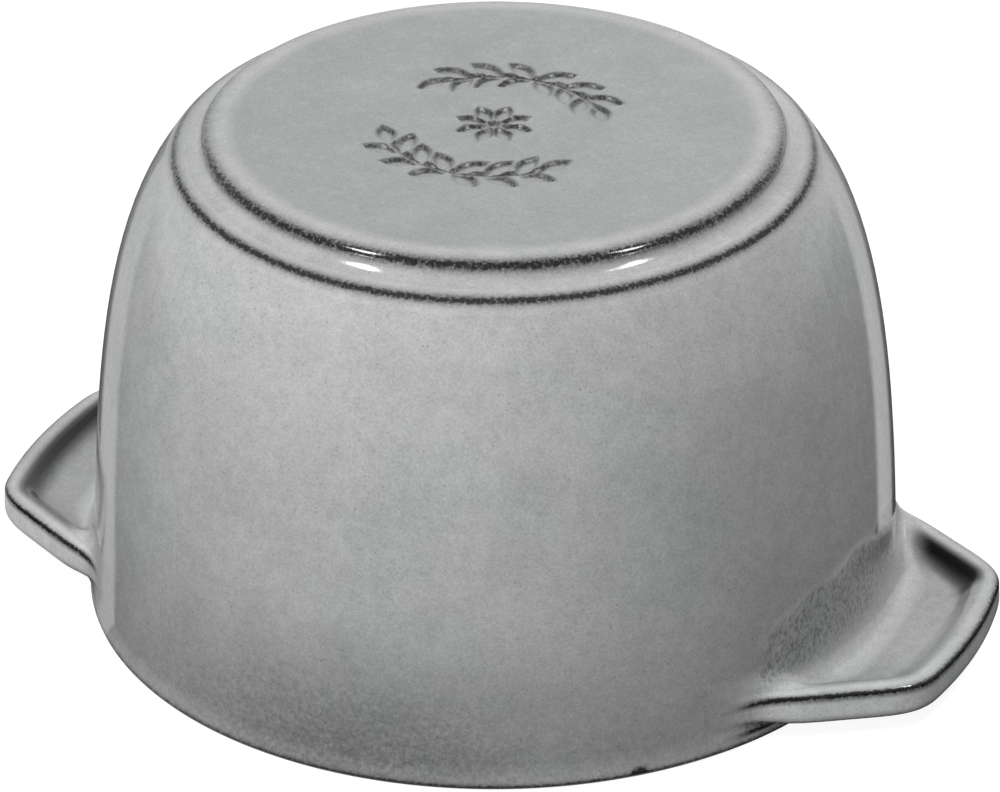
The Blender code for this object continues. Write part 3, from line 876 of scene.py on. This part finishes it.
knobShape = {
    "radius": knobHigh.x,
    "base": knobLow.z,
    "top": knobHigh.z,
    "crown": 0.0016,                # the side of the head ends this much below the top
    "crownFall": 0.00128,           # of the top, as if it went out to the full radius
    "edge": 0.0022,
    "neckRadius": 0.0066,
    "neckHeight": 0.0075,
    "neckFlare": (0.0005, 0.0002),  # of the curve under the head: outwards, down
    "neckEnd": 0.0040,              # heights above the base of the curves from the neck to the foot
    "footStart": 0.0014,
    "footTop": 0.0010,
    "footRadius": 0.0082,
    "footEdge": 0.0002,
    "bore": 0.0033,
    "boreEdge": 0.0003,
    "boreDepth": 0.0120,
    "borePoint": 0.0006,            # left by the drill
    "columns": 96,
}

fastening = {
    "bore": 0.0033,
    "edge": 0.00025,
    "cone": 0.0004,                 # of the spring washer
    "shank": 0.0030,
    "shankEdge": 0.0006,
    "pitch": 0.0010,
    "threadDepth": 0.00045,
    "threadRows": 110,
    "threadStop": 0.0001,           # it stops this far from the head and from the end
    "headHeight": 0.0030,
    "slotWidth": 0.0012,
    "slotDepth": 0.0014,
    "columns": 64,
}


def buildKnob(shape):
    base = shape["base"]
    head = base + shape["neckHeight"]
    edge = shape["edge"]
    outer = shape["radius"]
    neck = shape["neckRadius"]
    foot = shape["footRadius"]
    bore, boreEdge = shape["bore"], shape["boreEdge"]
    boreEnd = base + shape["boreDepth"]
    out, down = shape["neckFlare"]
    radii = [0.0] + between(0.0, outer - edge, 8)
    outline = [(r, shape["top"] - shape["crownFall"] * (r / outer) ** 2) for r in radii]
    outline += arcPoints((outer - edge, shape["top"] - shape["crown"] - edge), edge, 70, 0, 6)
    outline += arcPoints((outer - edge, head + edge), edge, 0, -80, 6)
    neckCurve = [(outer - edge, head), (neck + out, head - down), (neck, base + shape["neckEnd"])]
    outline += [tuple(curvePoint(neckCurve, t)) for t in between(0, 1, 6)]
    footCurve = [neckCurve[-1], (neck, base + shape["footStart"]), (foot, base + shape["footTop"])]
    outline += [tuple(curvePoint(footCurve, t)) for t in between(0, 1, 4)]
    outline += [(foot, base + shape["footEdge"]), (foot - shape["footEdge"], base)]
    outline += [(bore + boreEdge, base), (bore, base + boreEdge)]
    outline += [(bore, h) for h in between(base + boreEdge, boreEnd, 3)]
    outline += [(0.0, boreEnd + shape["borePoint"])]
    knob = spinProfile("turnedKnob", outline, shape["columns"])
    takeRows(knob)
    return knob


def keepEdgesSharp(piece):
    selectOnly(piece)
    bpy.ops.object.shade_smooth_by_angle(angle=meshing["sharpAngle"])


def ringOutline(inner, outer, lowInner, lowOuter, thickness, edge):  # a closed section with broken edges
    topInner = lowInner + thickness
    topOuter = lowOuter + thickness
    return [
        (inner, lowInner + edge), (inner, topInner - edge), (inner + edge, topInner),
        (outer - edge, topOuter), (outer, topOuter - edge), (outer, lowOuter + edge),
        (outer - edge, lowOuter), (inner + edge, lowInner), (inner, lowInner + edge),
    ]


def buildRing(name, low, high, cone, values):
    thickness = high.z - low.z - cone
    outline = ringOutline(values["bore"], high.x, low.z, low.z + cone, thickness, values["edge"])
    ring = spinProfile(name, outline, values["columns"])
    takeRows(ring)
    keepEdgesSharp(ring)
    return ring


def windThread(screw, values, low, high):
    for vertex in screw.data.vertices:
        if low < vertex.co.z < high:
            turn = math.atan2(vertex.co.y, vertex.co.x) / math.tau
            wave = abs(math.remainder(vertex.co.z / values["pitch"] - turn, 1.0))
            scale = 1.0 - values["threadDepth"] * (1.0 - 2.0 * wave) / values["shank"]
            vertex.co.x *= scale
            vertex.co.y *= scale


def cutSlot(screw, values, length):
    bpy.ops.object.select_all(action='DESELECT')
    bpy.ops.mesh.primitive_cube_add(size=1.0, location=(0.0, 0.0, screwLow.z))
    cutter = bpy.context.object
    cutter.scale = (length, values["slotWidth"], 2.0 * values["slotDepth"])
    selectOnly(screw)
    slot = screw.modifiers.new("slot", 'BOOLEAN')
    slot.operation = 'DIFFERENCE'
    slot.object = cutter
    bpy.ops.object.modifier_apply(modifier="slot")
    bpy.data.objects.remove(cutter)


def buildScrew(values):
    end = screwHigh.z
    headTop = screwLow.z + values["headHeight"]
    head = screwHigh.x
    shank, edge = values["shank"], values["shankEdge"]
    rounding = 0.5 * values["headHeight"]
    outline = [(0.0, end), (shank - edge, end), (shank, end - edge)]
    outline += [(shank, h) for h in between(end - edge, headTop, values["threadRows"])]
    outline += [(head, headTop)]
    outline += arcPoints((head - rounding, screwLow.z + rounding), rounding, 0, -90, 8)
    outline += [(0.0, screwLow.z)]
    screw = spinProfile("knobScrew", outline, values["columns"])
    takeRows(screw)
    windThread(screw, values, headTop + values["threadStop"], end - values["threadStop"])
    cutSlot(screw, values, 3.0 * head)  # longer than the head, so it is open at both ends
    keepEdgesSharp(screw)
    return screw


knob = buildKnob(knobShape)
knobWasher = buildRing("knobWasher", washerLow, washerHigh, 0.0, fastening)
springWasher = buildRing("springWasher", springLow, springHigh, fastening["cone"], fastening)
knobScrew = buildScrew(fastening)
print("knob and fastening modelled")


# Helpers for materials

def newMaterial(name):
    material = bpy.data.materials.new(name)
    material.use_nodes = True
    return material, material.node_tree


def addNode(tree, kind, values=None):
    node = tree.nodes.new(kind)
    for name, value in (values or {}).items():
        node.inputs[name].default_value = value
    return node


def feed(tree, source, socket):  # a number or colour is set on the socket, an output is linked to it
    if isinstance(source, bpy.types.NodeSocket):
        tree.links.new(source, socket)
    else:
        socket.default_value = source


def addNoise(tree, place, scale, detail, roughness):
    noise = addNode(tree, 'ShaderNodeTexNoise', {"Scale": scale, "Detail": detail, "Roughness": roughness})
    tree.links.new(place, noise.inputs["Vector"])
    return noise.outputs["Fac"]


def remap(tree, source, limits, smooth=False):  # limits: from low, from high, to low, to high
    node = addNode(tree, 'ShaderNodeMapRange')
    node.interpolation_type = 'SMOOTHSTEP' if smooth else 'LINEAR'
    for value, name in zip((source, *limits), ("Value", "From Min", "From Max", "To Min", "To Max")):
        feed(tree, value, node.inputs[name])
    return node.outputs["Result"]


def calculate(tree, operation, a, b):
    node = tree.nodes.new('ShaderNodeMath')
    node.operation = operation
    feed(tree, a, node.inputs[0])
    feed(tree, b, node.inputs[1])
    return node.outputs[0]


def mixColours(tree, blend, factor, a, b):
    node = tree.nodes.new('ShaderNodeMix')
    node.data_type = 'RGBA'
    node.blend_type = blend
    feed(tree, factor, node.inputs[0])
    feed(tree, a, node.inputs[6])  # the colour sockets are the seventh and the eighth
    feed(tree, b, node.inputs[7])
    return node.outputs[2]


def mixNumbers(tree, factor, a, b):
    node = tree.nodes.new('ShaderNodeMix')
    node.data_type = 'FLOAT'
    feed(tree, factor, node.inputs[0])
    feed(tree, a, node.inputs[2])
    feed(tree, b, node.inputs[3])
    return node.outputs[0]


def readPaint(tree, name):
    node = tree.nodes.new('ShaderNodeAttribute')
    node.attribute_name = name
    return node.outputs["Fac"]


# Enamel

enamelValues = {
    "palest": (0.400, 0.404, 0.400, 1.0),
    "darkest": (0.352, 0.356, 0.352, 1.0),
    "coolTint": (0.955, 0.995, 0.985, 1.0),
    "flatTint": (0.71, 0.735, 0.727, 1.0),
    # colours of painted shade and painted light, and of thin glaze with painted shade
    "rimShadeTint": (0.40, 0.40, 0.40, 1.0),
    "paleGlazeAndLightTint": (1.5, 1.5, 1.5, 1.0),
    "thinGlazeAndShadeColour": (0.006, 0.006, 0.006, 1.0),
    "shadeColour": (0.006, 0.006, 0.006, 1.0),
    "poreColour": (0.07, 0.07, 0.07, 1.0),
    "blackColour": (0.012, 0.012, 0.012, 1.0),
    "specular": 0.28,
    "glossRoughness": 0.08,
    "flatRoughness": 0.30,
    "dullRoughness": 0.80,
    "blackRoughness": 0.55,
    "cloud": (110.0, 4.0, 0.6),     # scale, detail and roughness of a noise
    "patch": (38.0, 3.0, 0.6),
    "mottle": (520.0, 3.0, 0.6),
    "grain": (2600.0, 2.0, 0.6),
    "blotch": (1200.0, 4.0, 0.65),
    "edgeGrain": (1800.0, 3.0, 0.65),
    "peel": (230.0, 2.0, 0.5),
    "pores": (1500.0, 4.0, 0.7),
    "cloudShare": (0.3, 0.7, 0.0, 1.0),         # from low, from high, to low, to high
    "patchShare": (0.50, 0.66, 0.0, 1.0),
    "mottleTone": (0.3, 0.7, 0.935, 1.065),
    "grainTone": (0.25, 0.75, 0.85, 1.15),
    "flatGrain": (0.3, 0.7, 0.45, 1.4),
    "rimGrain": (0.3, 0.7, 0.75, 1.45),
    "thinGrain": (0.3, 0.7, 0.50, 1.20),
    "blackGrain": (0.25, 0.75, 0.6, 1.5),
    "poreShare": (0.56, 0.36, 0.10, 0.66),
    "poreStretch": (1.0, 1.0, 0.65),
    "speckScale": 1400.0,
    "speckSize": (0.72, 1.0, 0.0, 0.30),
    "speckTone": (-0.08, 0.08, 0.80, 1.0),
    "peelBump": {"Strength": 0.10, "Distance": 0.0002},
    "pitBump": {"Strength": 0.10, "Distance": 0.0001},
}


def roundSpecks(tree, place, values):  # sparse small dark dots in the glaze
    cells = addNode(tree, 'ShaderNodeTexVoronoi', {"Scale": values["speckScale"]})
    tree.links.new(place, cells.inputs["Vector"])
    picked = tree.nodes.new('ShaderNodeSeparateColor')
    tree.links.new(cells.outputs["Color"], picked.inputs["Color"])
    size = remap(tree, picked.outputs["Red"], values["speckSize"])
    edge = calculate(tree, 'SUBTRACT', cells.outputs["Distance"], size)
    return remap(tree, edge, values["speckTone"], smooth=True)


def tallPores(tree, place, values):  # pores that were drawn out upright while the glaze ran
    stretch = addNode(tree, 'ShaderNodeMapping', {"Scale": values["poreStretch"]})
    tree.links.new(place, stretch.inputs["Vector"])
    pores = addNoise(tree, stretch.outputs["Vector"], *values["pores"])
    return remap(tree, pores, values["poreShare"], smooth=True)


def enamelTone(tree, place, mottle, grain, values):  # grey with clouds, cool patches, grain and specks
    cloud = addNoise(tree, place, *values["cloud"])
    cloudShare = remap(tree, cloud, values["cloudShare"])
    tone = mixColours(tree, 'MIX', cloudShare, values["darkest"], values["palest"])
    patch = addNoise(tree, place, *values["patch"])
    patchShare = remap(tree, patch, values["patchShare"], smooth=True)
    tone = mixColours(tree, 'MULTIPLY', patchShare, tone, values["coolTint"])
    tone = mixColours(tree, 'MULTIPLY', 1.0, tone, remap(tree, mottle, values["mottleTone"]))
    tone = mixColours(tree, 'MULTIPLY', 1.0, tone, remap(tree, grain, values["grainTone"]))
    return mixColours(tree, 'MULTIPLY', 1.0, tone, roundSpecks(tree, place, values))


def zonedTone(tree, place, tone, mottle, values):  # the zones that are painted on the pot, painted light and shade among them
    flatGrain = remap(tree, mottle, values["flatGrain"])
    flatShare = calculate(tree, 'MULTIPLY', readPaint(tree, "flatBase"), flatGrain)
    tone = mixColours(tree, 'MULTIPLY', flatShare, tone, values["flatTint"])
    # painted shade, darker towards the bottom of the wall
    rimGrain = remap(tree, addNoise(tree, place, *values["blotch"]), values["rimGrain"])
    rimShare = calculate(tree, 'MULTIPLY', readPaint(tree, "rimTone"), rimGrain)
    tone = mixColours(tree, 'MULTIPLY', rimShare, tone, values["rimShadeTint"])
    # painted light on the handles, painted highlights in the ornament and a pale line over the pores
    tone = mixColours(tree, 'MULTIPLY', readPaint(tree, "paleGlazeAndLight"), tone, values["paleGlazeAndLightTint"])
    poreShare = calculate(tree, 'MULTIPLY', readPaint(tree, "poreZone"), tallPores(tree, place, values))
    tone = mixColours(tree, 'MIX', poreShare, tone, values["poreColour"])
    # painted shade in the handles' pockets
    tone = mixColours(tree, 'MIX', readPaint(tree, "pocketShade"), tone, values["shadeColour"])
    # thin glaze on the edges, with painted shade on the edge lines and under the handles
    thinGrain = remap(tree, addNoise(tree, place, *values["edgeGrain"]), values["thinGrain"])
    thinGlazeAndShadeShare = calculate(tree, 'MULTIPLY', readPaint(tree, "thinGlazeAndShade"), thinGrain)
    return mixColours(tree, 'MIX', thinGlazeAndShadeShare, tone, values["thinGlazeAndShadeColour"])


def greyEnamel(values):
    material, tree = newMaterial("greyEnamel")
    shader = tree.nodes["Principled BSDF"]
    place = tree.nodes.new('ShaderNodeTexCoord').outputs["Object"]
    mottle = addNoise(tree, place, *values["mottle"])
    grain = addNoise(tree, place, *values["grain"])
    black = readPaint(tree, "blackCoat")
    tone = enamelTone(tree, place, mottle, grain, values)
    tone = zonedTone(tree, place, tone, mottle, values)
    blackGrain = remap(tree, grain, values["blackGrain"])
    blackTone = mixColours(tree, 'MULTIPLY', 1.0, values["blackColour"], blackGrain)
    tree.links.new(mixColours(tree, 'MIX', black, tone, blackTone), shader.inputs["Base Color"])

    rough = mixNumbers(tree, readPaint(tree, "flatBase"), values["glossRoughness"], values["flatRoughness"])
    rough = mixNumbers(tree, readPaint(tree, "dullEdge"), rough, values["dullRoughness"])
    rough = mixNumbers(tree, black, rough, values["blackRoughness"])
    tree.links.new(rough, shader.inputs["Roughness"])
    shader.inputs["Specular IOR Level"].default_value = values["specular"]
    peel = addNode(tree, 'ShaderNodeBump', values["peelBump"])
    tree.links.new(addNoise(tree, place, *values["peel"]), peel.inputs["Height"])
    pits = addNode(tree, 'ShaderNodeBump', values["pitBump"])
    tree.links.new(grain, pits.inputs["Height"])
    tree.links.new(peel.outputs["Normal"], pits.inputs["Normal"])
    tree.links.new(pits.outputs["Normal"], shader.inputs["Normal"])
    return material


# Steel

steelValues = {
    "polishedColour": (0.62, 0.61, 0.59, 1.0),
    "polishedRough": (0.3, 0.7, 0.10, 0.24),
    "polishedMarks": 2200.0,
    "plainColour": (0.45, 0.45, 0.45, 1.0),
    "plainRough": (0.3, 0.7, 0.30, 0.46),
    "plainMarks": 3000.0,
    "marks": {"Detail": 4.0, "Roughness": 0.7},
    "smudge": (160.0, 3.0, 0.5),
    "smudgeTone": (0.3, 0.7, 0.92, 1.05),
    "bump": {"Strength": 0.05, "Distance": 0.0001},
}


def turnedSteel(finish, values):
    # fine rings round the axis, as a lathe and a polishing wheel leave them
    material, tree = newMaterial(finish + "Steel")
    shader = tree.nodes["Principled BSDF"]
    shader.inputs["Metallic"].default_value = 1.0
    place = tree.nodes.new('ShaderNodeTexCoord').outputs["Object"]
    flatten = tree.nodes.new('ShaderNodeVectorMath')
    flatten.operation = 'MULTIPLY'
    flatten.inputs[1].default_value = (1.0, 1.0, 0.0)
    tree.links.new(place, flatten.inputs[0])
    length = tree.nodes.new('ShaderNodeVectorMath')
    length.operation = 'LENGTH'
    tree.links.new(flatten.outputs["Vector"], length.inputs[0])
    height = tree.nodes.new('ShaderNodeSeparateXYZ')
    tree.links.new(place, height.inputs["Vector"])
    along = calculate(tree, 'ADD', length.outputs["Value"], height.outputs["Z"])
    rings = addNode(tree, 'ShaderNodeTexNoise', values["marks"])
    rings.noise_dimensions = '1D'
    rings.inputs["Scale"].default_value = values[finish + "Marks"]
    tree.links.new(along, rings.inputs["W"])
    smudgeTone = remap(tree, addNoise(tree, place, *values["smudge"]), values["smudgeTone"])
    tone = mixColours(tree, 'MULTIPLY', 1.0, values[finish + "Colour"], smudgeTone)
    tree.links.new(tone, shader.inputs["Base Color"])
    rough = remap(tree, rings.outputs["Fac"], values[finish + "Rough"])
    tree.links.new(rough, shader.inputs["Roughness"])
    bump = addNode(tree, 'ShaderNodeBump', values["bump"])
    tree.links.new(rings.outputs["Fac"], bump.inputs["Height"])
    tree.links.new(bump.outputs["Normal"], shader.inputs["Normal"])
    return material


enamel = greyEnamel(enamelValues)
polishedSteel = turnedSteel("polished", steelValues)
plainSteel = turnedSteel("plain", steelValues)

for piece, node, body, slot, material in (
    (pot, "pot", "pot", "grey_enamel", enamel),
    (lid, "lid", "lid_set", "grey_enamel", enamel),
    (knob, "knob", "lid_set", "polished_steel", polishedSteel),
    (knobWasher, "knob_washer", "lid_set", "plain_steel", plainSteel),
    (springWasher, "spring_washer", "lid_set", "plain_steel", plainSteel),
    (knobScrew, "knob_screw", "lid_set", "plain_steel", plainSteel),
):
    piece.data.materials.append(material)
    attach(piece, body)
    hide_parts(node)
print("materials made")


# Studio

lamps = {
    # turn from the camera, lift, distance, width, length, roll, power, only seen as a highlight
    "keyLamp": (-60, 35, 0.60, 0.25, 0.25, 0, 0.99, False),
    "leftFrontLamp": (-34, 15, 0.60, 0.25, 0.25, 0, 1.55, False),
    "frontLamp": (0, 15, 0.38, 0.12, 0.12, 0, 0.17, False),
    "rightFrontLamp": (30, 15, 0.38, 0.12, 0.12, 0, 0.12, False),
    "rightTopLamp": (30, 60, 0.38, 0.12, 0.12, 0, 0.24, False),
    "leftBackLamp": (-120, 60, 0.60, 0.25, 0.25, 0, 1.22, False),
    "rightBackLamp": (120, 35, 0.38, 0.12, 0.12, 0, 0.75, False),
    "leftStreak": (-72, 59.2, 0.57, 0.072, 0.40, 43, 3.20, True),
    "rightStreak": (75, 58.7, 0.57, 0.070, 0.36, -41, 2.70, True),
}

studio = {
    "aim": (0.0, 0.0, 0.04),        # the lamps face this point
    "white": (1.0, 1.0, 1.0, 1.0),
    "ambient": 0.20,
    "floorSize": 8.0,
    "floorBounce": (0.05, 0.05, 0.05, 1.0),
    "floorShade": (0.25, 0.25, 0.25, 1.0),
    "floorGlow": 0.88,
    "cardColumns": 356,
    "cardTurn": 89.0,               # the wall mirrors the card up to this angle on either side
    "cardHeight": 0.0005,
    "cardGap": 0.0005,
    "cardLength": 1.6,
    "cardFade": (0.12, 1.5, 0.0, 1.0),          # black up to the first distance, white from the second
    "leftGlow": (-80.8, -70.8, 0.55, 0.80),     # wall angles that mirror a light strip, its strength there
    "rightGlow": (71.2, 81.0, 1.10, 0.45),
}


def addLamp(name, turn, lift, away, width, length, roll, power, highlight):
    data = bpy.data.lights.new(name, 'AREA')
    data.shape = 'ELLIPSE'
    data.size = width
    data.size_y = length
    data.energy = power
    lamp = bpy.data.objects.new(name, data)
    bpy.context.scene.collection.objects.link(lamp)
    turn = cameraValues["turn"] + math.radians(turn)
    lift = math.radians(lift)
    back = Vector((math.sin(turn) * math.cos(lift), -math.cos(turn) * math.cos(lift), math.sin(lift)))
    lamp.location = Vector(studio["aim"]) + away * back
    facing = back.to_track_quat('Z', 'Y').to_matrix() @ Matrix.Rotation(math.radians(roll), 3, 'Z')
    lamp.rotation_euler = facing.to_euler()
    lamp.visible_glossy = highlight
    lamp.visible_diffuse = not highlight
    lamp.visible_camera = False


def seenDirectly(tree):  # 1 for what the camera, a mirror or a glass sees
    path = tree.nodes.new('ShaderNodeLightPath')
    seen = calculate(tree, 'MAXIMUM', path.outputs["Is Camera Ray"], path.outputs["Is Glossy Ray"])
    return calculate(tree, 'MAXIMUM', seen, path.outputs["Is Transmission Ray"])


def addWorld(values):
    world = bpy.data.worlds.new("studio")
    bpy.context.scene.world = world
    world.use_nodes = True
    tree = world.node_tree
    background = tree.nodes["Background"]
    background.inputs["Color"].default_value = values["white"]
    strength = mixNumbers(tree, seenDirectly(tree), values["ambient"], 1.0)
    tree.links.new(strength, background.inputs["Strength"])


def addFloor(values):
    bpy.ops.object.select_all(action='DESELECT')
    bpy.ops.mesh.primitive_plane_add(size=values["floorSize"])
    floor = bpy.context.object
    floor.name = "floor"
    material, tree = newMaterial("whiteFloor")
    tree.nodes.remove(tree.nodes["Principled BSDF"])
    bounce = addNode(tree, 'ShaderNodeBsdfDiffuse', {"Color": values["floorBounce"]})
    shaded = addNode(tree, 'ShaderNodeBsdfDiffuse', {"Color": values["floorShade"]})
    glow = {"Color": values["white"], "Strength": values["floorGlow"]}
    white = addNode(tree, 'ShaderNodeEmission', glow)
    both = tree.nodes.new('ShaderNodeAddShader')
    tree.links.new(shaded.outputs[0], both.inputs[0])
    tree.links.new(white.outputs[0], both.inputs[1])
    choose = tree.nodes.new('ShaderNodeMixShader')
    tree.links.new(seenDirectly(tree), choose.inputs[0])
    tree.links.new(bounce.outputs[0], choose.inputs[1])
    tree.links.new(both.outputs[0], choose.inputs[2])
    tree.links.new(choose.outputs[0], tree.nodes["Material Output"].inputs["Surface"])
    floor.data.materials.append(material)


def stripGlow(angle, strips):  # strength of the light strip that the wall mirrors at this angle
    glows = [0.0]
    for first, last, firstGlow, lastGlow in strips:
        share = (angle - first) / (last - first)
        if 0.0 < share < 1.0:
            glows.append(firstGlow + (lastGlow - firstGlow) * share)
    return max(glows)


def cardMaterial(values):
    material, tree = newMaterial("mirrorCard")
    tree.nodes.remove(tree.nodes["Principled BSDF"])
    distance = tree.nodes.new('ShaderNodeVectorMath')
    distance.operation = 'LENGTH'
    tree.links.new(tree.nodes.new('ShaderNodeTexCoord').outputs["Object"], distance.inputs[0])
    fade = remap(tree, distance.outputs["Value"], values["cardFade"])
    light = tree.nodes.new('ShaderNodeEmission')
    strength = calculate(tree, 'MAXIMUM', fade, readPaint(tree, "glow"))
    tree.links.new(strength, light.inputs["Strength"])
    tree.links.new(light.outputs[0], tree.nodes["Material Output"].inputs["Surface"])
    return material


def addCard(values):
    # a card on the floor that only reflections see; each strip of the wall mirrors one line of it. Its
    # black is a painted shadow of the floor and its glowing strips are painted reflections of light strips
    bpy.ops.object.select_all(action='DESELECT')
    bpy.ops.mesh.primitive_grid_add(x_subdivisions=values["cardColumns"], y_subdivisions=1, size=2.0)
    card = bpy.context.object
    card.name = "mirrorCard"
    radius = potShape["rimRadius"]
    glow = []
    for vertex in card.data.vertices:
        angle = values["cardTurn"] * vertex.co.x
        turn = cameraValues["turn"] + math.radians(angle)
        mirrored = turn + math.radians(angle)
        away = values["cardLength"] if vertex.co.y > 0.0 else values["cardGap"]
        vertex.co.x = radius * math.sin(turn) + away * math.sin(mirrored)
        vertex.co.y = -radius * math.cos(turn) - away * math.cos(mirrored)
        vertex.co.z = values["cardHeight"]
        glow.append(stripGlow(angle, (values["leftGlow"], values["rightGlow"])))
    paint(card, "glow", glow)
    card.data.materials.append(cardMaterial(values))
    card.visible_camera = False
    card.visible_diffuse = False
    card.visible_shadow = False
    card.visible_transmission = False


for name, values in lamps.items():
    addLamp(name, *values)
addWorld(studio)
addFloor(studio)
addCard(studio)
print("studio lit")

bpy.context.scene.view_settings.view_transform = 'Standard'
